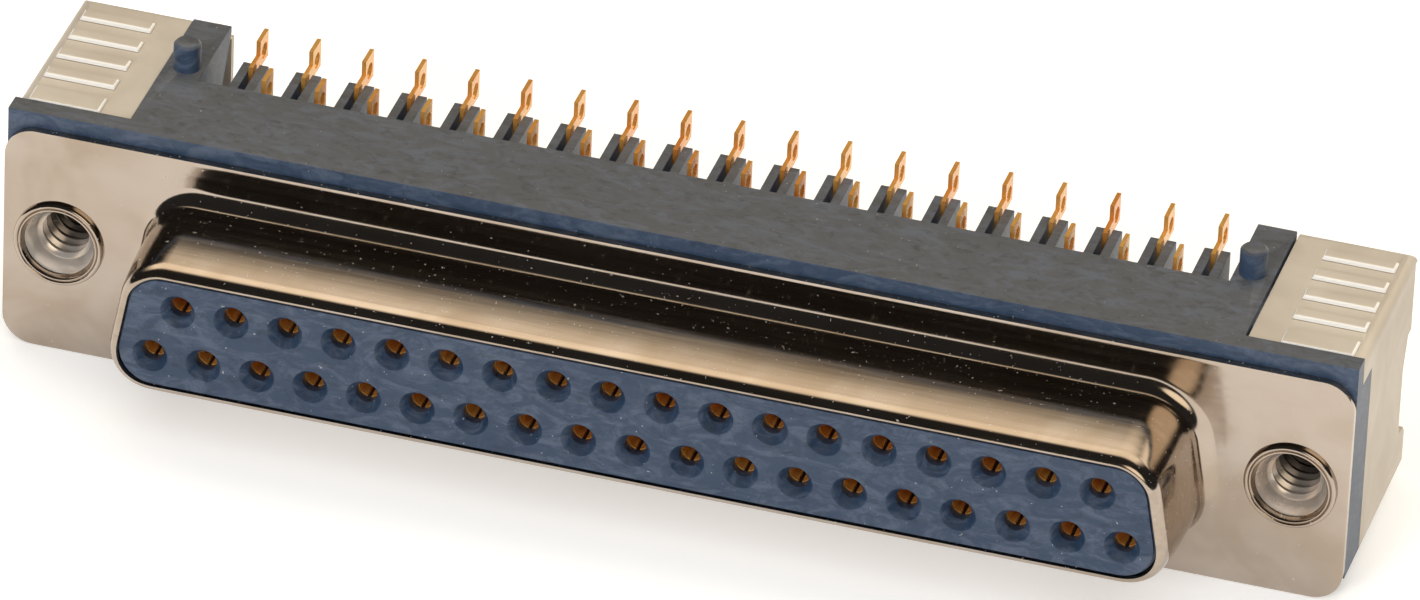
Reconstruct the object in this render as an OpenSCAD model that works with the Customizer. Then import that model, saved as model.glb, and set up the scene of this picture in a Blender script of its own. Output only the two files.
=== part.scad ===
// Right-angle surface-mount D-sub socket connector, 37 ways in two rows.
// +X runs along the flange, -Y is the mating side and +Z is the circuit board side.
// The origin is midway between the two flange screws, on the front face of the flange.

/* [Contacts] */
// Contacts in the long row, the short row has one fewer
long_row = 19; // [5:1:25]
// Pitch of the contacts along a row
pitch = 2.77; // [2.7:0.01:2.9]
// Distance between the two rows
row_gap = 2.84; // [2.6:0.02:3.1]
// Outer diameter of the socket barrel
barrel_d = 1.5; // [1.4:0.02:1.6]
// Inner diameter of the socket barrel
barrel_bore_d = 1.06; // [1:0.02:1.15]
// Depth of the slit that makes the barrel springy
barrel_slit_len = 3.6; // [2:0.1:4.2]
// Thickness of the flat tail
tail_t = 0.22; // [0.15:0.01:0.3]
// Width of the flat tail
tail_w = 0.74; // [0.6:0.02:0.8]
// Length of the solder pad at the end of the tail
pad_len = 1.3; // [1.1:0.05:1.4]
// Height of the solder pad
pad_h = 1.55; // [1.3:0.05:1.8]
// Solder eyelet in the pad
eyelet_d = 0.84; // [0.5:0.02:0.95]
// Rear edge of the pads of the short row
front_pad_y = 8.5; // [8.3:0.05:9]
// Rear edge of the pads of the long row
rear_pad_y = 11.95; // [11.6:0.05:12.4]

/* [Front shell] */
// Depth of the D-shaped collar in front of the flange
collar_len = 6.1; // [5.6:0.05:6.6]
// Outer height of the collar
collar_h = 7.9; // [7.6:0.05:8.2]
// Width of the collar beyond the end contacts, on the wide side
collar_side = 2.49; // [2.4:0.01:2.7]
// Corner radius of the collar
collar_r = 2.6; // [2:0.05:2.9]
// Slope of the collar's short sides
collar_slope = 10; // [8:0.5:12]
// Sheet thickness of the shell
sheet_t = 0.45; // [0.3:0.05:0.6]
// Radius where the collar turns into the flange
base_r = 1.2; // [0.8:0.05:1.4]
// Radius of the rolled front edge of the collar
lip_r = 0.75; // [0.65:0.05:0.9]
// Height of the flange
flange_h = 12.55; // [12.3:0.05:13]
// Corner radius of the flange
flange_r = 1.6; // [0.8:0.1:2.4]
// Flange beyond the screw axis
flange_end = 2.91; // [2.7:0.01:3.2]
// Distance from the collar's wide side to the screw axis
screw_out = 4.33; // [4.2:0.01:4.6]

/* [Insulators] */
// Height of the board face above the middle of the connector
board_z = 7.1; // [6.9:0.05:7.6]
// Depth of the underside below the middle of the connector
under_z = 5.15; // [4.95:0.05:5.4]
// Depth of the front insulator's rear flange
seat_t = 1.1; // [0.8:0.05:1.4]
// Diameter of the pin entries
entry_d = 1.12; // [1.06:0.02:1.2]
// Diameter of the funnels at the mating face
funnel_d = 1.86; // [1.6:0.02:2]
// Depth of the funnels
funnel_len = 0.5; // [0.3:0.05:0.7]
// Depth of the raised front rail
rail_t = 1.1; // [0.8:0.05:1.3]
// Depth of the end blocks behind the flange
end_block_t = 2.8; // [2.6:0.05:3.4]
// Rear face of the housing block
block_back = 6.05; // [5.7:0.05:6.2]
// Width of each tail guide
guide_w = 1.33; // [1:0.05:1.6]
// Rear end of the tail guides
guide_back = 10.35; // [10.1:0.05:10.45]
// Drop of the tail guides below the board face
guide_drop = 1.2; // [1.1:0.05:1.3]
// Height of the tail guides
guide_h = 2.7; // [2:0.1:3.4]
// Width of the side arms
arm_w = 2; // [1.8:0.05:2.4]
// Rear end of the side arms
arm_back = 11.5; // [11:0.05:11.8]
// Diameter of the locating pegs
peg_d = 1.4; // [1:0.05:1.8]
// Height of the locating pegs
peg_h = 1.5; // [1:0.1:2.5]

/* [Metal ends] */
// Sheet thickness of the brackets
bracket_t = 0.4; // [0.3:0.05:0.5]
// Rear face of the brackets
bracket_back = 12.1; // [12:0.05:12.4]
// Bend radius of the brackets
bend_r = 0.7; // [0.5:0.05:0.9]
// Height of the flap at the back of a bracket
flap_h = 4.3; // [3:0.1:5]
// Drop of the bracket's foot plate below the board face
foot_drop = 0.2; // [0.15:0.05:0.3]
// Rear edge of the rearmost solder rib
rib_back = 10.65; // [10.3:0.05:11]
// Pitch of the solder ribs
rib_pitch = 1.88; // [1.8:0.02:1.96]
// Width of a solder rib
rib_w = 1; // [0.9:0.05:1.3]
// Outer diameter of the insert's neck
neck_d = 4.2; // [3.8:0.1:4.4]
// Diameter of the rolled rim of the insert
rim_d = 4.7; // [4.6:0.1:5]
// Width across the flats of the insert's nut
nut_af = 4.9; // [4.6:0.1:4.9]
// Depth of the insert's nut
nut_len = 2.3; // [1.8:0.1:2.4]
// Core diameter of the screw thread
thread_core_d = 2.4; // [2.2:0.05:2.6]

/* [Hidden] */
short_row = long_row - 1;
contact_count = long_row + short_row;

// wall beside the insert and offset of the pegs from the middle of the arms
core_side = 1.03;
peg_in = 0.1;
// clearances
fit_gap = 0.05;
slide_gap = 0.07;
edge_gap = 0.1;
// pieces of an arc in each corner of the collar
corner_steps = 7;
bend_steps = 5;
round_fn = 48;

collar_w = (long_row - 1) * pitch + 2 * collar_side;
screw_x = collar_w / 2 + screw_out;
flange_w = 2 * (screw_x + flange_end);
wrap_in = collar_w / 2 - collar_r;

// mating face and the parts of the front insulator
face_y = -collar_len + fit_gap;
lip_in_y = -collar_len + sheet_t + fit_gap;
seat_y = sheet_t;
seat_back = seat_y + seat_t;
seat_grow = base_r + 0.7;
entry_len = 1;
barrel_y = face_y + entry_len + fit_gap;
barrel_back = seat_back - fit_gap;
barrel_plug = 1.3;
cavity_d = barrel_d + 2 * slide_gap;
slot_w = tail_t + 2 * slide_gap;
slot_h = tail_w + 2 * slide_gap;

// housing
rail_back = sheet_t + rail_t;
end_block_back = sheet_t + end_block_t;
core_x = screw_x - neck_d / 2 - core_side;
arm_x = core_x - arm_w;
guide_z = board_z - guide_drop;
pocket_gap = edge_gap;
arm_foot_z = -under_z / 2;
peg_y = 7.1;
peg_x = core_x - arm_w / 2 - peg_in;
arm_tip_h = 0.35;

// tails: both pads reach the board face, and their feet run level
pad_top = board_z - 0.05;
foot_z = pad_top - pad_h;
rear_post_y = guide_back - tail_w - 0.2;
front_post_y = block_back + 0.35;

// brackets
foot_z_top = board_z - foot_drop;
bracket_x = flange_w / 2;
bracket_in = core_x + edge_gap;
skirt_z = board_z - 1.6;
leg_top = foot_z_top - bracket_t - 0.2;
leg_front = end_block_back + fit_gap;
leg_drop = under_z - 1;
foot_front = rail_back + fit_gap;
flap_z = foot_z_top - flap_h;
flap_in = arm_x + fit_gap;
heel_h = 2.1;
heel_in = 0.35;
waist_in = 1.65;
rib_start = 1.6;
rib_end_gap = 0.6;

// which contact sits where: 1 to long_row lie in the lower long row
function in_long(i) = i <= long_row;
function contact_x(i) = in_long(i)
    ? (i - 1 - (long_row - 1) / 2) * pitch
    : (i - long_row - 1 - (short_row - 1) / 2) * pitch;
function contact_z(i) = in_long(i) ? -row_gap / 2 : row_gap / 2;

// points of an arc from angle a to angle b
function arc(centre, r, a, b, steps) =
    [for (k = [0:steps]) centre + r * [cos(a + (b - a) * k / steps), sin(a + (b - a) * k / steps)]];

// the D outline in x and z, grown outwards by g, wide side down
function d_outline(g) =
    let (
        r = collar_r + g,
        dz = collar_h / 2 - collar_r,
        top_x = wrap_in - 2 * dz * tan(collar_slope),
        s = collar_slope
    )
    concat(
        arc([wrap_in, -dz], r, -90, s, corner_steps),
        arc([top_x, dz], r, s, 90, corner_steps),
        arc([-top_x, dz], r, 90, 180 - s, corner_steps),
        arc([-wrap_in, -dz], r, 180 - s, 270, corner_steps)
    );

// extrusions along the connector's own axes
module along_y(from, to) {
    translate([0, to, 0]) rotate([90, 0, 0]) linear_extrude(to - from) children();
}
module along_x(from, to) {
    translate([from, 0, 0]) rotate([90, 0, 90]) linear_extrude(to - from) children();
}
module along_z(from, to) {
    translate([0, 0, from]) linear_extrude(to - from) children();
}
module rod_y(d, from, to, x = 0, z = 0) {
    translate([x, from, z]) rotate([-90, 0, 0]) cylinder(d = d, h = to - from, $fn = round_fn);
}
module cone_y(d1, d2, from, to, x = 0, z = 0) {
    translate([x, from, z]) rotate([-90, 0, 0]) cylinder(d1 = d1, d2 = d2, h = to - from, $fn = round_fn);
}
module block(low, high) {
    translate(low) cube(high - low);
}
module both_ends() {
    children();
    mirror([1, 0, 0]) children();
}
module rounded_rect(x0, y0, x1, y1, r) {
    translate([x0 + r, y0]) square([x1 - x0 - 2 * r, y1 - y0]);
    translate([x0, y0 + r]) square([x1 - x0, y1 - y0 - 2 * r]);
    for (x = [x0 + r, x1 - r], y = [y0 + r, y1 - r]) {
        translate([x, y]) circle(r = r, $fn = round_fn);
    }
}

// section of the drawn collar, as growth of the D outline against y, once around the sheet
function collar_section() =
    let (
        base = [base_r, -base_r],
        lip = [-lip_r, -collar_len + lip_r],
        join = 0.4
    )
    concat(
        [[base_r + join, 0]],
        arc(base, base_r, 90, 180, bend_steps),
        arc(lip, lip_r, 0, -90, bend_steps),
        arc(lip, lip_r - sheet_t, -90, 0, bend_steps),
        arc(base, base_r + sheet_t, 180, 90, bend_steps),
        [[base_r + join, sheet_t]]
    );

// a closed tube swept around the D outline
module d_sweep(section) {
    m = len(section);
    n = len(d_outline(0));
    points = [for (s = section, p = d_outline(s[0])) [p[0], s[1], p[1]]];
    faces = [for (k = [0:m - 1], i = [0:n - 1])
        let (k1 = (k + 1) % m, i1 = (i + 1) % n)
        [k * n + i, k1 * n + i, k1 * n + i1, k * n + i1]];
    polyhedron(points, faces, convexity = 8);
}

module front_shell() {
    color("#b8ada0") {
        difference() {
            along_y(0, sheet_t)
                rounded_rect(-flange_w / 2, -flange_h / 2, flange_w / 2, flange_h / 2, flange_r);
            along_y(-1, 1) polygon(d_outline(base_r + 0.2));
            both_ends() rod_y(neck_d + 2 * fit_gap, -1, 1, screw_x);
        }
        d_sweep(collar_section());
    }
}

module front_insulator() {
    chamfer = 0.2;
    color("#33485f") difference() {
        union() {
            along_y(face_y + chamfer, lip_in_y) polygon(d_outline(-lip_r - fit_gap));
            along_y(face_y, face_y + chamfer) polygon(d_outline(-lip_r - fit_gap - chamfer / 2));
            along_y(lip_in_y, seat_y) polygon(d_outline(-sheet_t - fit_gap - 0.25));
            along_y(seat_y, seat_back) polygon(d_outline(seat_grow));
        }
        for (i = [1:contact_count]) {
            x = contact_x(i);
            z = contact_z(i);
            cone_y(funnel_d, entry_d, face_y - 0.01, face_y + funnel_len, x, z);
            rod_y(entry_d, face_y, seat_back, x, z);
            rod_y(cavity_d, face_y + entry_len, seat_back + 1, x, z);
        }
    }
}

// side outline of an arm: level on top, with a sloping rear edge below its tip
module arm() {
    along_x(arm_x, core_x) polygon([
        [block_back - 1, -under_z],
        [block_back, -under_z],
        [block_back, arm_foot_z],
        [arm_back, board_z - arm_tip_h],
        [arm_back, board_z],
        [block_back - 1, board_z]
    ]);
}

module peg() {
    chamfer = 0.15;
    translate([peg_x, peg_y, board_z - 0.5]) {
        cylinder(d = peg_d, h = peg_h + 0.5 - chamfer, $fn = round_fn);
        translate([0, 0, peg_h + 0.5 - chamfer])
            cylinder(d1 = peg_d, d2 = peg_d - 2 * chamfer, h = chamfer, $fn = round_fn);
    }
}

// one guide: two cheeks that hold a tail of the long row between them
module tail_guide(x) {
    difference() {
        block([x - guide_w / 2, block_back - 0.5, guide_z - guide_h], [x + guide_w / 2, guide_back, guide_z]);
        block([x - slot_w / 2, block_back, guide_z - guide_h - 1], [x + slot_w / 2, guide_back + 1, guide_z + 1]);
    }
}

module housing() {
    end_x = bracket_x - bend_r;
    color("#3b4048") difference() {
        union() {
            block([-flange_w / 2, sheet_t, -under_z], [flange_w / 2, rail_back, board_z]);
            block([-core_x, sheet_t, -under_z], [core_x, block_back, board_z]);
            both_ends() {
                block([core_x - 1, sheet_t, -under_z], [flange_w / 2, end_block_back, skirt_z - fit_gap]);
                block([core_x - 1, sheet_t, 0], [end_x, end_block_back, foot_z_top - bracket_t - fit_gap]);
                arm();
                peg();
            }
            for (i = [1:long_row]) tail_guide(contact_x(i));
        }
        along_y(sheet_t - 1, seat_back + fit_gap) polygon(d_outline(seat_grow + pocket_gap));
        for (i = [1:contact_count]) {
            x = contact_x(i);
            z = contact_z(i);
            block([x - slot_w / 2, 0, z - slot_h / 2], [x + slot_w / 2, block_back + 0.01, z + slot_h / 2]);
        }
        both_ends() rod_y(neck_d + 2 * fit_gap, 0, end_block_back + 1, screw_x);
    }
}

// the folded end bracket at +X: a ribbed foot plate, a side wall, a rear flap and a leg round the insert
module bracket() {
    color("#cdc3b1") difference() {
        union() {
            difference() {
                bracket_block(0);
                bracket_block(bracket_t);
                // open in front below the skirt, and at the back below the flap
                block([0, 0, -under_z - 1], [bracket_x + 1, leg_front, skirt_z]);
                block([0, leg_front, -under_z - 1], [bracket_x - bracket_t, bracket_back + 1, flap_z]);
                along_x(bracket_x - bracket_t - 0.1, bracket_x + 1) side_cut();
            }
            block([bracket_in, leg_front, -leg_drop], [bracket_x - 0.1, leg_front + bracket_t, leg_top]);
            block([flap_in, bracket_back - bracket_t, flap_z], [bracket_in + 1, bracket_back, foot_z_top - bend_r]);
            for (k = [0:4]) rib(k);
        }
        rod_y(neck_d + 2 * fit_gap, leg_front - 1, leg_front + bracket_t + 1, screw_x);
    }
}

// the block that the bracket wraps round, shrunk by the sheet for its inside
module bracket_block(inset) {
    r = bend_r - inset;
    x1 = bracket_x - inset;
    y1 = bracket_back - inset;
    z1 = foot_z_top - inset;
    z0 = -under_z - inset;
    intersection() {
        along_y(foot_front - inset, y1) rounded_rect(0, z0 - bend_r, x1, z1, r);
        along_x(bracket_in - inset, x1) rounded_rect(0, z0 - bend_r, y1, z1, r);
        block([0, 0, z0], [x1, y1, z1]);
    }
}

// what the rear edge of the side wall leaves out between the flap and the foot
module side_cut() {
    heel_z = -under_z + heel_h;
    polygon([
        [bracket_back + 1, flap_z],
        [bracket_back - 1, flap_z],
        [bracket_back - waist_in, flap_z - 1.7],
        [bracket_back - waist_in, heel_z + 0.6],
        [bracket_back - waist_in + 0.3, heel_z],
        [bracket_back - heel_in - 0.3, heel_z],
        [bracket_back - heel_in, heel_z - 0.4],
        [bracket_back - heel_in, -under_z - 1],
        [bracket_back + 1, -under_z - 1]
    ]);
}

// raised ribs across the foot plate, the front one running up to the rail
module rib(k) {
    h = foot_drop;
    rear = rib_back - k * rib_pitch;
    first = k == 4;
    front = first ? foot_front : rear - rib_w;
    along_x(bracket_in + rib_start, bracket_x - rib_end_gap) polygon([
        [front, foot_z_top - 0.1],
        [rear, foot_z_top - 0.1],
        [rear, foot_z_top],
        [rear - h, foot_z_top + h],
        [first ? front : front + h / 2, foot_z_top + h],
        [front, foot_z_top]
    ]);
}

// threaded insert at +X: a nut behind the bracket, a neck through it and a rim rolled over the flange
module insert() {
    rim_t = 0.28;
    nut_y = leg_front + bracket_t;
    color("#c8c3bb") difference() {
        union() {
            rod_y(neck_d, 0, nut_y + 0.1, screw_x);
            translate([screw_x, nut_y, 0]) rotate([-90, 30, 0])
                cylinder(d = nut_af / cos(30), h = nut_len, $fn = 6);
            cone_y(rim_d - 2 * rim_t, rim_d, -rim_t, 0, screw_x);
        }
        rod_y(thread_core_d, -1, nut_y + nut_len + 1, screw_x);
        cone_y(neck_d - 0.3, thread_core_d, -rim_t - 0.01, 0.9, screw_x);
    }
}

// one socket contact: slit barrel, plug and a flat tail that turns up to its solder pad
module contact(i) {
    x = contact_x(i);
    z = contact_z(i);
    post_y = in_long(i) ? rear_post_y : front_post_y;
    pad_back = in_long(i) ? rear_pad_y : front_pad_y;
    pad_front = pad_back - pad_len;
    color("#cf8f35") {
        difference() {
            rod_y(barrel_d, barrel_y, barrel_back, x, z);
            rod_y(barrel_bore_d, barrel_y - 1, barrel_back - barrel_plug, x, z);
            block([x - 0.1, barrel_y - 1, z - 1], [x + 0.1, barrel_y + barrel_slit_len, z + 1]);
        }
        difference() {
            along_x(x - tail_t / 2, x + tail_t / 2) polygon([
                [barrel_back - 0.3, z - tail_w / 2],
                [post_y + tail_w, z - tail_w / 2],
                [post_y + tail_w, foot_z],
                [pad_back, foot_z],
                [pad_back, pad_top],
                [pad_front, pad_top],
                [pad_front, foot_z + tail_w],
                [post_y, foot_z + tail_w],
                [post_y, z + tail_w / 2],
                [barrel_back - 0.3, z + tail_w / 2]
            ]);
            translate([x - 1, pad_back - pad_len / 2, foot_z + pad_h / 2 - 0.1]) rotate([0, 90, 0])
                cylinder(d = eyelet_d, h = 2, $fn = round_fn);
        }
    }
}

front_shell();
front_insulator();
housing();
mirror([1, 0, 0]) bracket();  // bracket_left
bracket();  // bracket_right
mirror([1, 0, 0]) insert();  // insert_left
insert();  // insert_right
for (i = [1:contact_count]) {
    contact(i);
}
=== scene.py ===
import math
import bpy
import bmesh
from mathutils import Matrix, Vector


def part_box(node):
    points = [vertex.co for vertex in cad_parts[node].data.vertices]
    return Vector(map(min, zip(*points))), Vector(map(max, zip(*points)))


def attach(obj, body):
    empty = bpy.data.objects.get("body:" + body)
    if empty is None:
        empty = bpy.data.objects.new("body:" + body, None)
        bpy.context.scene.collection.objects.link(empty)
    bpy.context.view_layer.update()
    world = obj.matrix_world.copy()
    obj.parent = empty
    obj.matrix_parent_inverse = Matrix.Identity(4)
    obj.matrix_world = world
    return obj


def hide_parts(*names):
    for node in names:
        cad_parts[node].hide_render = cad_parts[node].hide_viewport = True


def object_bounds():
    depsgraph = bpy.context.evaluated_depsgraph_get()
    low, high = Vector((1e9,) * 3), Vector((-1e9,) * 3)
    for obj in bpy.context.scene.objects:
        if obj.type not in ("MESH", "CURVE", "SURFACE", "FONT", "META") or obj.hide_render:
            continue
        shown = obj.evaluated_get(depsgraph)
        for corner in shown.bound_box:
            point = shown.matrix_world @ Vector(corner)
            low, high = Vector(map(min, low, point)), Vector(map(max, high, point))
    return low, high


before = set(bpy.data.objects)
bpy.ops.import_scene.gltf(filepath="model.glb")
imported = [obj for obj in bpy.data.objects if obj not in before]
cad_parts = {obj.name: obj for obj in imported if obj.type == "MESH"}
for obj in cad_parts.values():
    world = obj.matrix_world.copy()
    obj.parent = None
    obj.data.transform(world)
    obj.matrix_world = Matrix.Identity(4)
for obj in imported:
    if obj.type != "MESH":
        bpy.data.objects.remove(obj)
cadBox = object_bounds()
mm = 0.001


def boxOf(node):  # lowest and highest corner of a CAD piece, in millimetres
    return [[round(c / mm, 3) for c in corner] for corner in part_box(node)]


cameraSettings = {
    "place": (166.954 * mm, -604.510 * mm, 410.492 * mm),
    "turn": (57.01056, -2.18590, 16.68554),  # degrees about X, Y and Z
    "lens": 385.30, "sensor": 36,  # millimetres
    "near": 0.01, "far": 20,  # metres
}


def makeCamera(s):
    camera = bpy.data.cameras.new("camera")
    camera.lens = s["lens"]
    camera.sensor_width = s["sensor"]
    camera.sensor_fit = "HORIZONTAL"
    camera.clip_start = s["near"]
    camera.clip_end = s["far"]
    cameraObject = bpy.data.objects.new("camera", camera)
    cameraObject.location = s["place"]
    cameraObject.rotation_euler = [math.radians(a) for a in s["turn"]]
    bpy.context.scene.collection.objects.link(cameraObject)
    bpy.context.scene.camera = cameraObject


makeCamera(cameraSettings)
bpy.context.scene.view_settings.view_transform = "Standard"
print("camera set")


def plug(tree, value, socket):  # links another node's output, or writes a plain value
    if isinstance(value, bpy.types.NodeSocket):
        tree.links.new(value, socket)
    else:
        socket.default_value = value


def addNode(tree, kind, inputs=(), **settings):  # inputs: pairs of a socket's name or number and its value
    node = tree.nodes.new(kind)
    for name, value in settings.items():
        setattr(node, name, value)
    for name, value in inputs:
        plug(tree, value, node.inputs[name])
    return node


def mathNode(tree, operation, *values):
    return addNode(tree, "ShaderNodeMath", enumerate(values), operation=operation).outputs[0]


def product(tree, first, second):
    return mathNode(tree, "MULTIPLY", first, second)


def total(tree, first, second):
    return mathNode(tree, "ADD", first, second)


def ramp(tree, value, low, high):  # 0 at low, 1 at high, smooth between
    inputs = (("Value", value), ("From Min", low), ("From Max", high))
    node = addNode(tree, "ShaderNodeMapRange", inputs, clamp=True, interpolation_type="SMOOTHSTEP")
    return node.outputs["Result"]


def mixColour(tree, factor, first, second):
    inputs = ((0, factor), (6, first), (7, second))
    return addNode(tree, "ShaderNodeMix", inputs, data_type="RGBA").outputs[2]


def noise(tree, place, scale, detail=3, rough=0.5, distortion=0.0, stretch=1):
    if stretch != 1:  # below 1, it draws the pattern out along X
        factors = ((0, place), (1, (stretch, 1, 1)))
        place = addNode(tree, "ShaderNodeVectorMath", factors, operation="MULTIPLY").outputs[0]
    inputs = (("Vector", place), ("Scale", scale), ("Detail", detail), ("Roughness", rough),
              ("Distortion", distortion))
    return addNode(tree, "ShaderNodeTexNoise", inputs).outputs["Fac"]


def objectPlace(tree):
    return addNode(tree, "ShaderNodeTexCoord").outputs["Object"]


def axes(tree, vector):
    return addNode(tree, "ShaderNodeSeparateXYZ", ((0, vector),)).outputs


colourSocket = "NodeSocketColor"
numberSocket = "NodeSocketFloat"


def newGroup(name, inputs, outputs):
    tree = bpy.data.node_groups.new(name, "ShaderNodeTree")
    for label, kind, value in inputs:
        socket = tree.interface.new_socket(label, in_out="INPUT", socket_type=kind)
        socket.default_value = value
    for label, kind in outputs:
        tree.interface.new_socket(label, in_out="OUTPUT", socket_type=kind)
    return tree, tree.nodes.new("NodeGroupInput").outputs, tree.nodes.new("NodeGroupOutput").inputs


mouldedSettings = {  # noise scales are waves to the metre
    "swirl": {"scale": 900, "detail": 6, "rough": 0.7, "distortion": 1.6, "stretch": 0.45},
    "swirlRange": (0.42, 0.66), "swirlAmount": 0.55, "swirlColour": (0.17, 0.21, 0.29, 1), "swirlBlend": 0.5,
    "fleck": {"scale": 2300, "detail": 4, "rough": 0.7, "distortion": 0.8, "stretch": 0.6},
    "fleckRange": (0.5, 0.3), "fleckAmount": 0.45, "fleckDepth": 0.75,
    "speck": {"scale": 4200, "detail": 1},
    "speckEdge": 0.775, "speckAmount": 0.5, "speckColour": (0.5, 0.5, 0.5, 1),
    "patch": {"scale": 160, "detail": 2, "distortion": 0.6}, "patchRoughness": 0.16,
    "grain": {"scale": 5200, "detail": 2, "rough": 0.6}, "grainShare": 0.3,
    "paintedTopRange": (0.4, 0.95),  # how far a face has to look up before the painted top light lies on it
}


def makeMouldedMarksAndPaintedTop(s):  # flow swirls of a filled plastic, with painted top light: what faces up is painted greyer, standing in for the warm light from overhead
    tree, given, made = newGroup("mouldedMarksAndPaintedTop", (
        ("Colour", colourSocket, (0.03, 0.08, 0.2, 1)), ("Painted Top", colourSocket, (0.12, 0.12, 0.12, 1)),
        ("Painted Top Amount", numberSocket, 0.8), ("Roughness", numberSocket, 0.35),
    ), (("Colour", colourSocket), ("Roughness", numberSocket), ("Height", numberSocket)))
    place = objectPlace(tree)
    facing = axes(tree, addNode(tree, "ShaderNodeNewGeometry").outputs["Normal"])
    # painted top light: upward faces are mixed toward a lit grey, standing in for the warm overhead light
    paintedTop = product(tree, ramp(tree, facing["Z"], *s["paintedTopRange"]), given["Painted Top Amount"])
    base = mixColour(tree, paintedTop, given["Colour"], given["Painted Top"])
    swirl = noise(tree, place, **s["swirl"])
    pale = mixColour(tree, s["swirlBlend"], base, s["swirlColour"])
    swirled = product(tree, ramp(tree, swirl, *s["swirlRange"]), s["swirlAmount"])
    mottled = mixColour(tree, swirled, base, pale)
    fleck = ramp(tree, noise(tree, place, **s["fleck"]), *s["fleckRange"])
    deep = mixColour(tree, s["fleckDepth"], mottled, (0, 0, 0, 1))
    mottled = mixColour(tree, product(tree, fleck, s["fleckAmount"]), mottled, deep)
    speck = mathNode(tree, "GREATER_THAN", noise(tree, place, **s["speck"]), s["speckEdge"])
    mottled = mixColour(tree, product(tree, speck, s["speckAmount"]), mottled, s["speckColour"])
    plug(tree, mottled, made["Colour"])
    patch = product(tree, noise(tree, place, **s["patch"]), s["patchRoughness"])
    rough = total(tree, given["Roughness"], patch)
    plug(tree, mathNode(tree, "SUBTRACT", rough, s["patchRoughness"] / 2), made["Roughness"])
    grain = product(tree, noise(tree, place, **s["grain"]), s["grainShare"])
    plug(tree, total(tree, product(tree, swirl, 1 - s["grainShare"]), grain), made["Height"])
    return tree


platedSettings = {  # noise scales are waves to the metre
    "cloud": {"scale": 180, "detail": 3, "rough": 0.55, "distortion": 0.5},
    "cloudRange": (0.35, 0.7), "cloudRoughness": 0.06,
    "peel": {"scale": 1100, "detail": 1}, "peelShare": 0.5,
    "drawn": {"scale": 2600, "detail": 4, "rough": 0.65, "stretch": 0.03},  # drawing marks along the sheet
    "drawnRange": (0.62, 0.3), "drawnDepth": 0.6, "drawnColour": (0.02, 0.015, 0.01, 1),
    "drawnAmount": 0.03, "collarAmount": 0.2, "collarRange": (-0.4 * mm, -1.4 * mm),  # in front of the flange
    "drawnRough": (0.35, 0.7), "drawnRoughness": 0.06,
    "dust": {"scale": 5200, "detail": 2, "rough": 0.6},
    "dustEdge": 0.715, "dustColour": (0.75, 0.73, 0.7, 1), "dustRoughness": 0.5,
}


def makePlatedMarks(s):  # orange peel, drawing marks and dust on plated sheet
    tree, given, made = newGroup("platedMarks", (
        ("Colour", colourSocket, (0.7, 0.64, 0.57, 1)), ("Tint", colourSocket, (0.62, 0.52, 0.42, 1)),
        ("Roughness", numberSocket, 0.1), ("Dust", numberSocket, 0.3),
    ), (("Colour", colourSocket), ("Roughness", numberSocket), ("Metallic", numberSocket),
        ("Height", numberSocket)))
    place = objectPlace(tree)
    cloud = noise(tree, place, **s["cloud"])
    tinted = mixColour(tree, ramp(tree, cloud, *s["cloudRange"]), given["Colour"], given["Tint"])
    drawn = noise(tree, place, **s["drawn"])
    collar = ramp(tree, axes(tree, place)["Y"], *s["collarRange"])
    amount = total(tree, product(tree, collar, s["collarAmount"]), s["drawnAmount"])
    marks = product(tree, ramp(tree, drawn, *s["drawnRange"]), amount)
    marked = mixColour(tree, marks, tinted, mixColour(tree, s["drawnDepth"], tinted, s["drawnColour"]))
    grains = mathNode(tree, "GREATER_THAN", noise(tree, place, **s["dust"]), s["dustEdge"])
    dust = product(tree, grains, given["Dust"])
    plug(tree, mixColour(tree, dust, marked, s["dustColour"]), made["Colour"])
    plug(tree, mathNode(tree, "SUBTRACT", 1.0, dust), made["Metallic"])
    rough = total(tree, given["Roughness"], product(tree, cloud, s["cloudRoughness"]))
    rough = total(tree, rough, product(tree, ramp(tree, drawn, *s["drawnRough"]), s["drawnRoughness"]))
    plug(tree, total(tree, rough, product(tree, dust, s["dustRoughness"])), made["Roughness"])
    peel = product(tree, noise(tree, place, **s["peel"]), s["peelShare"])
    plug(tree, total(tree, peel, product(tree, drawn, 1 - s["peelShare"])), made["Height"])
    return tree


mouldedMarksAndPaintedTop = makeMouldedMarksAndPaintedTop(mouldedSettings)
platedMarks = makePlatedMarks(platedSettings)


def newMaterial(name, group, bump, marks, plain):  # bump in millimetres, plain values go on the shader itself
    material = bpy.data.materials.new(name)
    material.use_nodes = True
    tree = material.node_tree
    shader = tree.nodes["Principled BSDF"].inputs
    for label, value in plain.items():
        shader[label].default_value = value
    made = addNode(tree, "ShaderNodeGroup", marks.items(), node_tree=group).outputs
    for socket, label in (("Base Color", "Colour"), ("Roughness", "Roughness"), ("Metallic", "Metallic")):
        if label in made and socket not in plain:
            plug(tree, made[label], shader[socket])
    heights = (("Strength", 1), ("Distance", bump * mm), ("Height", made["Height"]))
    plug(tree, addNode(tree, "ShaderNodeBump", heights).outputs["Normal"], shader["Normal"])
    return material


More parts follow.
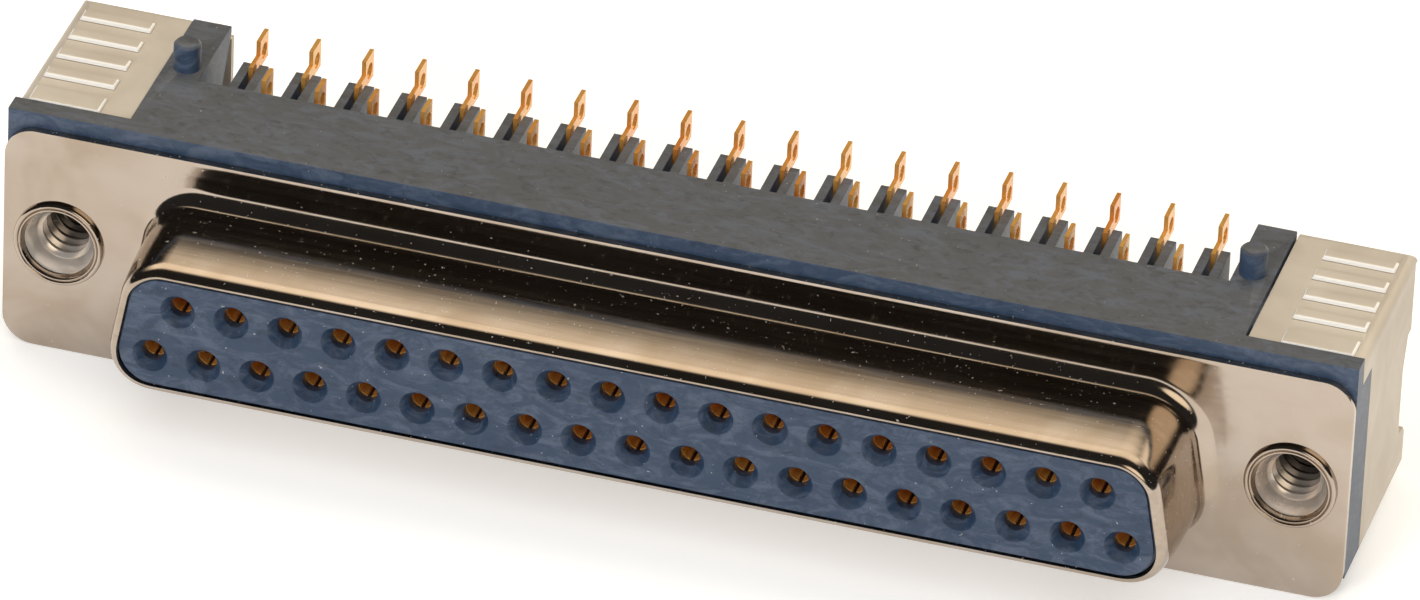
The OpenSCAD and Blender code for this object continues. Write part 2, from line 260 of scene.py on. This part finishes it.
# in both plastics the second colour and its amount are painted top light, a lit grey on upward faces
housingPlastic = newMaterial("housingPlastic", mouldedMarksAndPaintedTop, 0.008, {
    "Colour": (0.031, 0.056, 0.104, 1), "Painted Top": (0.094, 0.097, 0.1, 1), "Painted Top Amount": 0.95, "Roughness": 0.4,
}, {"Specular IOR Level": 0.45})
facePlastic = newMaterial("facePlastic", mouldedMarksAndPaintedTop, 0.012, {
    "Colour": (0.021, 0.043, 0.088, 1), "Painted Top": (0.05, 0.06, 0.08, 1), "Painted Top Amount": 0.4, "Roughness": 0.34,
}, {"Specular IOR Level": 0.45})
shellNickel = newMaterial("shellNickel", platedMarks, 0.0016, {
    "Colour": (0.485, 0.417, 0.358, 1), "Tint": (0.4, 0.325, 0.256, 1), "Roughness": 0.07, "Dust": 0.5,
}, {})
insertNickel = newMaterial("insertNickel", platedMarks, 0.001, {
    "Colour": (0.82, 0.79, 0.76, 1), "Tint": (0.68, 0.6, 0.53, 1), "Roughness": 0.18, "Dust": 0.0,
}, {"Metallic": 0.65})
bracketTin = newMaterial("bracketTin", platedMarks, 0.004, {
    "Colour": (0.66, 0.595, 0.505, 1), "Tint": (0.57, 0.505, 0.42, 1), "Roughness": 0.42, "Dust": 0.3,
}, {"Metallic": 0.3})
contactGold = newMaterial("contactGold", platedMarks, 0.002, {
    "Colour": (1.0, 0.54, 0.14, 1), "Tint": (0.9, 0.35, 0.065, 1), "Roughness": 0.15, "Dust": 0.0,
}, {"Metallic": 0.55})


def addBand(material, axis, low, high, soft, colour):  # mixes a colour in between two places along an axis
    tree = material.node_tree
    base = tree.nodes["Principled BSDF"].inputs["Base Color"]
    place = axes(tree, objectPlace(tree))[axis]
    rising = ramp(tree, place, low * mm, (low + soft) * mm)
    falling = ramp(tree, place, high * mm, (high - soft) * mm)
    banded = mixColour(tree, product(tree, rising, falling), base.links[0].from_socket, colour)
    plug(tree, banded, base)


bracketSide, bracketRear, ribTop = boxOf("bracket_right")[1]
ribFootShade = {"low": ribTop - 0.199, "high": ribTop - 0.16, "soft": 0.01, "colour": (0.3, 0.24, 0.17, 1)}
ribHighlight = {"low": ribTop - 0.17, "high": ribTop - 0.008, "soft": 0.02, "colour": (0.98, 0.97, 0.95, 1)}
boreShade = {"low": 1.0, "high": 9.0, "soft": 2.6, "colour": (0.06, 0.05, 0.045, 1)}
addBand(bracketTin, "Z", **ribFootShade)  # painted shade at the foot of the ribs
addBand(bracketTin, "Z", **ribHighlight)  # painted highlight on their rounded edges
addBand(insertNickel, "Y", **boreShade)  # painted shade in the depth of the bore and its threads
print("materials made")


def sharpEdges(bm, degrees):
    return [e for e in bm.edges if len(e.link_faces) == 2 and e.calc_face_angle(0) > math.radians(degrees)]


def roundEdges(bm, edges, width, segments=2):  # width in millimetres
    bmesh.ops.bevel(bm, geom=edges, offset=width * mm, offset_type="OFFSET", segments=segments, profile=0.5,
                    affect="EDGES", clamp_overlap=True, material=-1)


def putPiece(name, bm, material, node, smooth=32):  # edges under so many degrees are shaded smooth
    bmesh.ops.recalc_face_normals(bm, faces=bm.faces)
    for face in bm.faces:
        face.smooth = True
    for edge in bm.edges:
        edge.smooth = len(edge.link_faces) == 2 and edge.calc_face_angle(0) < math.radians(smooth)
    mesh = bpy.data.meshes.new(name)
    bm.to_mesh(mesh)
    bm.free()
    mesh.materials.append(material)
    piece = bpy.data.objects.new(name, mesh)
    bpy.context.scene.collection.objects.link(piece)
    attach(piece, "root")
    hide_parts(node)
    return piece


shellLow, shellHigh = boxOf("front_shell")
insertLow, insertHigh = boxOf("insert_right")
screwX = round((insertLow[0] + insertHigh[0]) / 2, 3)
shellSettings = {
    "halfWidth": 27.42, "halfHeight": 3.95, "cornerRadius": 2.6, "slope": 10,  # D outline, slope in degrees
    "baseRadius": 0.9, "lipRadius": 0.75, "lipLead": 0.05, "bow": 0.24,  # bow: how far the wall leans in
    "flangeX": shellHigh[0], "flangeZ": shellHigh[2], "flangeCorner": 1.6, "holeRadius": 2.12,
    "length": -shellLow[1], "sheet": shellHigh[1],
    "flatRing": 0.5, "rimBand": 0.25, "holeBand": 0.3,  # flat metal kept round the base, rim and holes
    "cornerSteps": 14, "baseSteps": 9, "wallSteps": 12, "lipSteps": 10, "holeSteps": 64,
    "edgeRound": 0.09, "sharp": 50, "smooth": 40,
    "touch": 0.001, "sliver": 0.0003,
}


def roundedFace(bm, corners):  # corners: x, z, radius and the angle inside the corner
    verts = [bm.verts.new((x * mm, 0, z * mm)) for x, z, radius, angle in corners]
    bm.faces.new(verts)
    reaches = [radius / math.tan(math.radians(angle / 2)) for x, z, radius, angle in corners]
    for vert, reach in zip(verts, reaches):
        bmesh.ops.bevel(bm, geom=[vert], offset=reach * mm, offset_type="OFFSET", profile=0.5, material=-1,
                        segments=shellSettings["cornerSteps"], affect="VERTICES")
    return bm.faces[:][0]


def collarCorners(s, grow):  # the D outline grown outwards, wide side down
    slope = math.radians(s["slope"])
    rise = s["halfHeight"] - s["cornerRadius"]
    reach = (s["halfWidth"] - s["cornerRadius"]) * math.cos(slope) - rise * math.sin(slope)
    reach = reach + s["cornerRadius"] + grow
    high = s["halfHeight"] + grow
    low = (reach + high * math.sin(slope)) / math.cos(slope)
    top = (reach - high * math.sin(slope)) / math.cos(slope)
    radius = s["cornerRadius"] + grow
    return ((-low, -high, radius, 90 - s["slope"]), (low, -high, radius, 90 - s["slope"]),
            (top, high, radius, 90 + s["slope"]), (-top, high, radius, 90 + s["slope"]))


def collarProfile(s):  # growth of the outline and how far forward, from the flange to the lip
    base, bow = s["baseRadius"], s["bow"]
    profile = [(base, 0.0)]
    for k in range(1, s["baseSteps"] + 1):
        a = math.radians(90 + 90 * k / s["baseSteps"])
        profile.append((base + base * math.cos(a), base - base * math.sin(a)))
    end = s["length"] - s["lipRadius"] - s["lipLead"]
    for k in range(1, s["wallSteps"] + 1):
        t = k / s["wallSteps"]
        profile.append((-bow * t * t, base + (end - base) * t))
    drop, run = s["lipRadius"] - bow, s["length"] - end
    first = math.atan(2 * bow / (end - base))  # the lip starts at the wall's own lean
    for k in range(1, s["lipSteps"] + 1):
        a = first + (math.radians(90) - first) * k / s["lipSteps"]
        inwards = drop * (math.cos(first) - math.cos(a)) / math.cos(first)
        profile.append((-bow - inwards, end + run * (math.sin(a) - math.sin(first)) / (1 - math.sin(first))))
    return profile


def makeCollar(s):
    bm = bmesh.new()
    grow = s["baseRadius"] + s["flatRing"]
    face = roundedFace(bm, collarCorners(s, grow))
    if face.normal.y > 0:
        face.normal_flip()
    here = (grow, 0.0)
    for step in collarProfile(s):
        bmesh.ops.inset_individual(bm, faces=[face], thickness=(here[0] - step[0]) * mm,
                                   depth=(step[1] - here[1]) * mm, use_even_offset=True)
        here = step
    bmesh.ops.delete(bm, geom=[face], context="FACES_ONLY")
    return bm


def makePlate(s):  # a band round the flange's rim, and two circles for each screw hole
    bm = bmesh.new()
    x, z, corner = s["flangeX"], s["flangeZ"], s["flangeCorner"]
    places = ((-x, -z), (x, -z), (x, z), (-x, z))
    face = roundedFace(bm, [(*place, corner, 90) for place in places])
    bmesh.ops.inset_individual(bm, faces=[face], thickness=s["rimBand"] * mm, use_even_offset=True)
    bmesh.ops.delete(bm, geom=[face], context="FACES_ONLY")
    for side in (-1, 1):
        turn = Matrix.Translation((side * screwX * mm, 0, 0)) @ Matrix.Rotation(math.radians(90), 4, "X")
        for radius in (s["holeRadius"], s["holeRadius"] + s["holeBand"]):
            bmesh.ops.create_circle(bm, radius=radius * mm, segments=s["holeSteps"], matrix=turn)
    return bm


def addMesh(bm, other):
    mesh = bpy.data.meshes.new("joined")
    other.to_mesh(mesh)
    other.free()
    bm.from_mesh(mesh)
    bpy.data.meshes.remove(mesh)


def circleEdges(edges, x, radius, touch):
    centre = Vector((x * mm, 0, 0))
    return [e for e in edges if all(abs((v.co - centre).length - radius * mm) < touch for v in e.verts)]


def fillFlange(bm, s):  # the flat metal between the rim, the collar and the screw holes
    touch = s["touch"] * mm
    inX = (s["flangeX"] - s["rimBand"]) * mm + 10 * touch
    inZ = (s["flangeZ"] - s["rimBand"]) * mm + 10 * touch
    loose = [e for e in bm.edges if not e.link_faces]
    around = [e for e in bm.edges if e.is_boundary and all(
        abs(v.co.y) < touch and abs(v.co.x) < inX and abs(v.co.z) < inZ for v in e.verts)]
    for side in (-1, 1):
        small = circleEdges(loose, side * screwX, s["holeRadius"], touch)
        large = circleEdges(loose, side * screwX, s["holeRadius"] + s["holeBand"], touch)
        bmesh.ops.bridge_loops(bm, edges=small + large)
        around += large
    bmesh.ops.triangle_fill(bm, edges=around, use_beauty=True)


def makeShell(s):
    bm = makeCollar(s)
    addMesh(bm, makePlate(s))
    fillFlange(bm, s)
    bmesh.ops.recalc_face_normals(bm, faces=bm.faces)
    front = [f for f in bm.faces if abs(f.calc_center_median().y) < s["touch"] * mm]
    if sum(f.normal.y * f.calc_area() for f in front) > 0:
        bmesh.ops.reverse_faces(bm, faces=bm.faces)
    bmesh.ops.solidify(bm, geom=bm.faces[:], thickness=s["sheet"] * mm)
    bmesh.ops.recalc_face_normals(bm, faces=bm.faces)
    roundEdges(bm, sharpEdges(bm, s["sharp"]), s["edgeRound"])
    bmesh.ops.dissolve_degenerate(bm, edges=bm.edges, dist=s["sliver"] * mm)
    putPiece("shell", bm, shellNickel, "front_shell", s["smooth"])


makeShell(shellSettings)
print("shell made")


solidSettings = {
    "merge": 0.0005,  # millimetres under which corners of neighbouring triangles become one
    "flat": 0.5,  # degrees under which neighbouring faces become one
    "sharp": 40,  # degrees above which an edge is rounded
    "wideSharp": 57, "wideSteps": 4,  # the same for edges that have a wider rounding of their own
    "flatWeight": 90,
}


def finishSolid(name, node, material, edgeRound, wider=()):  # wider: pairs of a test and a rounding
    s = solidSettings
    bm = bmesh.new()
    bm.from_mesh(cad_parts[node].data)
    bmesh.ops.remove_doubles(bm, verts=bm.verts, dist=s["merge"] * mm)
    bmesh.ops.dissolve_limit(bm, angle_limit=math.radians(s["flat"]), verts=bm.verts, edges=bm.edges)
    for test, width in wider:
        roundEdges(bm, [e for e in sharpEdges(bm, s["wideSharp"]) if test(e)], width, s["wideSteps"])
    roundEdges(bm, sharpEdges(bm, s["sharp"]), edgeRound)
    bmesh.ops.triangulate(bm, faces=[f for f in bm.faces if len(f.verts) > 4])
    piece = putPiece(name, bm, material, node)
    flats = piece.modifiers.new("flats", "WEIGHTED_NORMAL")  # keeps flat faces flat between their soft edges
    flats.keep_sharp = True
    flats.weight = s["flatWeight"]


housingSettings = {"edgeRound": 0.08}
faceSettings = {"edgeRound": 0.05}
finishSolid("housingBody", "housing", housingPlastic, housingSettings["edgeRound"])
finishSolid("faceBlock", "front_insulator", facePlastic, faceSettings["edgeRound"])

bracketSettings = {"edgeRound": 0.05, "cornerRound": 0.45, "ribRound": 0.185, "near": 0.02}


def isRearCorner(edge):
    near = bracketSettings["near"] * mm
    return all(abs(abs(v.co.x) - bracketSide * mm) < near and abs(v.co.y - bracketRear * mm) < near
               for v in edge.verts)


def isRibTop(edge):
    return all(abs(v.co.z - ribTop * mm) < bracketSettings["near"] / 2 * mm for v in edge.verts)


def makeBracket(name, node, s):
    wider = ((isRearCorner, s["cornerRound"]), (isRibTop, s["ribRound"]))
    finishSolid(name, node, bracketTin, s["edgeRound"], wider)


makeBracket("bracketLeft", "bracket_left", bracketSettings)
makeBracket("bracketRight", "bracket_right", bracketSettings)
print("moulded parts and brackets made")


insertSettings = {
    "neck": 2.1, "rim": 2.35, "rimDepth": -insertLow[1], "rimRoll": 0.16, "rimSink": 0.03, "rimSteps": 6,
    # a second roll inside the rim: how far in from its edge, and how far back from its front
    "innerRoll": ((0.22, 0.03), (0.26, 0.1), (0.31, 0.02), (0.37, 0.01), (0.43, 0.08), (0.48, 0.24)),
    "bowlRadius": 1.85, "bowlDrop": 0.43, "bowlCurve": 0.8, "bowlStart": -0.02, "bowlSteps": 12,
    "turningMark": 0.018, "threadStart": 0.95, "threadPitch": 0.635, "threadRoot": 1.42, "threadCrest": 1.22,
    "crestFrom": 0.25, "crestTo": 0.38, "rootFrom": 0.62,  # shares of the pitch
    "nutFront": 3.7, "back": insertHigh[1], "acrossFlats": round(insertHigh[0] - insertLow[0], 3),
    "steps": 72, "nutSteps": 48, "smooth": 35, "merge": 0.0003,
    "brightBack": 0.05, "brightInside": 1.8,  # the rim is as bright as the shell, the bore is duller and carries painted shade further in
}


def insertProfile(s):  # radius and place along the axis, from the neck over the rim and down the bore
    rim, front, roll = s["rim"], -s["rimDepth"], s["rimRoll"]
    profile = [(s["neck"], s["rimSink"]), (rim, s["rimSink"])]
    for k in range(s["rimSteps"] + 1):
        a = math.radians(90 * k / s["rimSteps"])
        profile.append((rim - roll + roll * math.cos(a), front + roll - roll * math.sin(a)))
    profile += [(rim - inwards, front + back) for inwards, back in s["innerRoll"]]
    for k in range(1, s["bowlSteps"] + 1):  # bowl-shaped entrance with turning marks
        t = k / s["bowlSteps"]
        radius = s["bowlRadius"] - s["bowlDrop"] * t ** s["bowlCurve"] + (k % 2) * s["turningMark"]
        profile.append((radius, s["bowlStart"] + (s["threadStart"] - s["bowlStart"]) * t))
    y, pitch, crest, root = s["threadStart"], s["threadPitch"], s["threadCrest"], s["threadRoot"]
    while y + pitch < s["back"]:  # thread ridges as closed rings
        profile += [(crest, y + s["crestFrom"] * pitch), (crest, y + s["crestTo"] * pitch),
                    (root, y + s["rootFrom"] * pitch), (root, y + pitch)]
        y += pitch
    return profile + [(root, s["back"]), (s["neck"], s["back"])]


def addNut(bm, x, s):  # six-sided nut round the back of the neck
    turn = Matrix.Translation((x, s["nutFront"] * mm, 0)) @ Matrix.Rotation(math.radians(90), 4, "X")
    steps, flats = s["nutSteps"], s["acrossFlats"] / 2
    bmesh.ops.create_circle(bm, segments=steps, radius=s["neck"] * mm, matrix=turn)
    outer = bmesh.ops.create_circle(bm, segments=steps, radius=flats * mm, matrix=turn)["verts"]
    for v in outer:
        a = math.atan2(v.co.z, v.co.x - x)
        stretch = 1 / math.cos((a + math.radians(30)) % math.radians(60) - math.radians(30))
        v.co.x = x + (v.co.x - x) * stretch
        v.co.z *= stretch
    faces = bmesh.ops.bridge_loops(bm, edges=[e for e in bm.edges if not e.link_faces])["faces"]
    raised = bmesh.ops.extrude_face_region(bm, geom=faces)["geom"]
    bmesh.ops.translate(bm, vec=(0, (s["back"] - s["nutFront"]) * mm, 0),
                        verts=[g for g in raised if isinstance(g, bmesh.types.BMVert)])


def makeInsert(name, node, side, s):
    x = side * screwX * mm
    bm = bmesh.new()
    verts = [bm.verts.new((x + radius * mm, y * mm, 0)) for radius, y in insertProfile(s)]
    edges = [bm.edges.new(pair) for pair in zip(verts, verts[1:] + verts[:1])]
    bmesh.ops.spin(bm, geom=verts + edges, cent=(x, 0, 0), axis=(0, 1, 0), angle=math.radians(360),
                   steps=s["steps"], use_merge=True)
    bmesh.ops.remove_doubles(bm, verts=bm.verts, dist=s["merge"] * mm)
    addNut(bm, x, s)
    for face in bm.faces:
        middle = face.calc_center_median()
        outside = math.hypot(middle.x - x, middle.z) > s["brightInside"] * mm
        face.material_index = int(middle.y < s["brightBack"] * mm and outside)
    piece = putPiece(name, bm, insertNickel, node, s["smooth"])
    piece.data.materials.append(shellNickel)


makeInsert("insertLeft", "insert_left", -1, insertSettings)
makeInsert("insertRight", "insert_right", 1, insertSettings)
print("threaded inserts made")


def finishContacts():  # their solids stay as they are
    for node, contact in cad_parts.items():
        if node.startswith("contact_"):
            contact.data.materials.clear()
            contact.data.materials.append(contactGold)


finishContacts()
print("contacts finished")


floorSettings = {
    "under": 0.045,  # millimetres below the lowest edge
    "size": 8, "colour": (0.92, 0.92, 0.92, 1), "roughness": 0.9, "glow": 0.32,
}


def makeFloor(s):
    bm = bmesh.new()
    place = Matrix.Translation((0, 0, round(cadBox[0][2], 6) - s["under"] * mm))
    bmesh.ops.create_grid(bm, x_segments=1, y_segments=1, size=s["size"], matrix=place)
    mesh = bpy.data.meshes.new("floor")
    bm.to_mesh(mesh)
    bm.free()
    floor = bpy.data.objects.new("floor", mesh)
    bpy.context.scene.collection.objects.link(floor)
    material = bpy.data.materials.new("floorWhite")
    material.use_nodes = True
    tree = material.node_tree
    shader = tree.nodes["Principled BSDF"].inputs
    shader["Base Color"].default_value = s["colour"]
    shader["Roughness"].default_value = s["roughness"]
    shader["Specular IOR Level"].default_value = 0.0
    shader["Emission Color"].default_value = (1, 1, 1, 1)
    ray = addNode(tree, "ShaderNodeLightPath").outputs
    seen = mathNode(tree, "MAXIMUM", ray["Is Camera Ray"], ray["Is Glossy Ray"])
    seen = mathNode(tree, "MAXIMUM", seen, ray["Is Transmission Ray"])
    plug(tree, product(tree, seen, s["glow"]), shader["Emission Strength"])
    mesh.materials.append(material)


lampSettings = {  # place in metres, spread in degrees
    "fill": {"place": (0.2, -0.4, 1.4), "spread": 80, "strength": 1.25},
    "front": {"place": (-0.45, -1.4, 0.55), "spread": 22, "strength": 1.5},
}


def makeLamp(name, place, spread, strength):  # a soft sun that looks at the middle, without a glint
    lamp = bpy.data.lights.new(name, "SUN")
    lamp.angle = math.radians(spread)
    lamp.energy = strength
    lampObject = bpy.data.objects.new(name, lamp)
    lampObject.location = place
    lampObject.rotation_euler = (-Vector(place)).to_track_quat("-Z", "Y").to_euler()
    lampObject.visible_glossy = False
    bpy.context.scene.collection.objects.link(lampObject)


roomSettings = {
    "walls": 0.03, "horizon": (0.03, -0.02),
    "stripLight": 1.9, "stripTint": (1.0, 0.87, 0.68),
    "stripRear": (39, 49), "stripFront": (88, 70),  # degrees up from behind, where it starts and is full
    "stripEnds": (0.8, 0.5), "stripShift": 0.1,
    "patches": ((0.48, 0.8, 0.33), (0.42, -0.8, 0.45)),  # on the right, behind and in front
    "patchEdge": (0.93, 0.975),
}


def makeRoom(s):  # white below the horizon, dim walls above it and one long warm strip overhead
    world = bpy.data.worlds.new("studio")
    bpy.context.scene.world = world
    world.use_nodes = True
    tree = world.node_tree
    look = addNode(tree, "ShaderNodeTexCoord").outputs["Generated"]
    across, along, up = axes(tree, look)
    lean = mathNode(tree, "ARCTAN2", up, along)  # 0 behind, a quarter turn above
    rear = ramp(tree, lean, *(math.radians(a) for a in s["stripRear"]))
    front = ramp(tree, lean, *(math.radians(a) for a in s["stripFront"]))
    aside = mathNode(tree, "ABSOLUTE", total(tree, across, s["stripShift"]))
    glow = product(tree, product(tree, rear, front), ramp(tree, aside, *s["stripEnds"]))
    for aim in s["patches"]:
        toward = ((0, look), (1, Vector(aim).normalized()))
        patch = addNode(tree, "ShaderNodeVectorMath", toward, operation="DOT_PRODUCT").outputs["Value"]
        glow = mathNode(tree, "MAXIMUM", glow, ramp(tree, patch, *s["patchEdge"]))
    walls = (s["walls"], s["walls"], s["walls"], 1)
    room = mixColour(tree, ramp(tree, up, *s["horizon"]), walls, (1, 1, 1, 1))
    strip = tuple(c * s["stripLight"] for c in s["stripTint"]) + (1,)
    plug(tree, mixColour(tree, glow, room, strip), tree.nodes["Background"].inputs["Color"])


makeFloor(floorSettings)
for name, lamp in lampSettings.items():
    makeLamp(name, **lamp)
makeRoom(roomSettings)
print("studio made")
